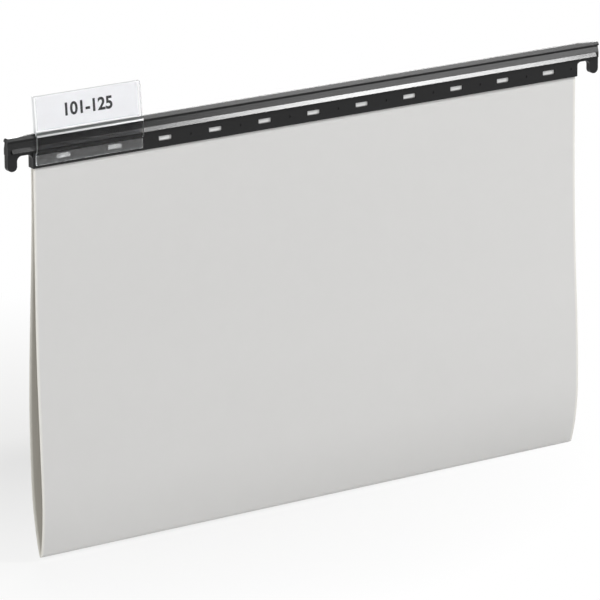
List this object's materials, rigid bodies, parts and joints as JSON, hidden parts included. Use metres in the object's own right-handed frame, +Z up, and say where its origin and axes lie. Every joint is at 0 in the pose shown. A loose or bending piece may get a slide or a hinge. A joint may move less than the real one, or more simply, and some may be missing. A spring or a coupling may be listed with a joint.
{
  "type": "hanging file folder",
  "caption": "Foolscap hanging file: a folded grey card pocket hung from black plastic rails with end hooks, and a clear index tab.",
  "frame": {"origin": "below the middle of the card's fold, on its lowest line, midway between the two rails", "axes": "+X along the rails, to the right as seen from the front; -Y is the front, where the index tab is; +Z up"},
  "size_m": [0.405, 0.0194, 0.2671],
  "materials": {
    "card": "matte card",
    "rail_plastic": "satin",
    "clear_plastic": "clear gloss",
    "paper": "matte"
  },
  "bodies": {
    "rear_half": {"rear_rail": "rail_plastic", "rear_panel": "card"},
    "front_half": {"front_rail": "rail_plastic", "front_panel": "card"},
    "tab": {"index_tab": "clear_plastic"},
    "label": {"label_insert": "paper"}
  },
  "joints": [
    {"name": "front_open", "type": "hinge", "parent": "rear_half", "child": "front_half", "pos_m": [0, 0, 0.00025], "axis": [1, 0, 0], "range_deg": [0, 65]},
    {"name": "tab_unclip", "type": "slide", "parent": "front_half", "child": "tab", "axis": [0, -1, 0], "range_m": [0, 0.012]},
    {"name": "label_slide", "type": "slide", "parent": "tab", "child": "label", "axis": [0, 0.0958, 0.9954], "range_m": [0, 0.025]}
  ]
}
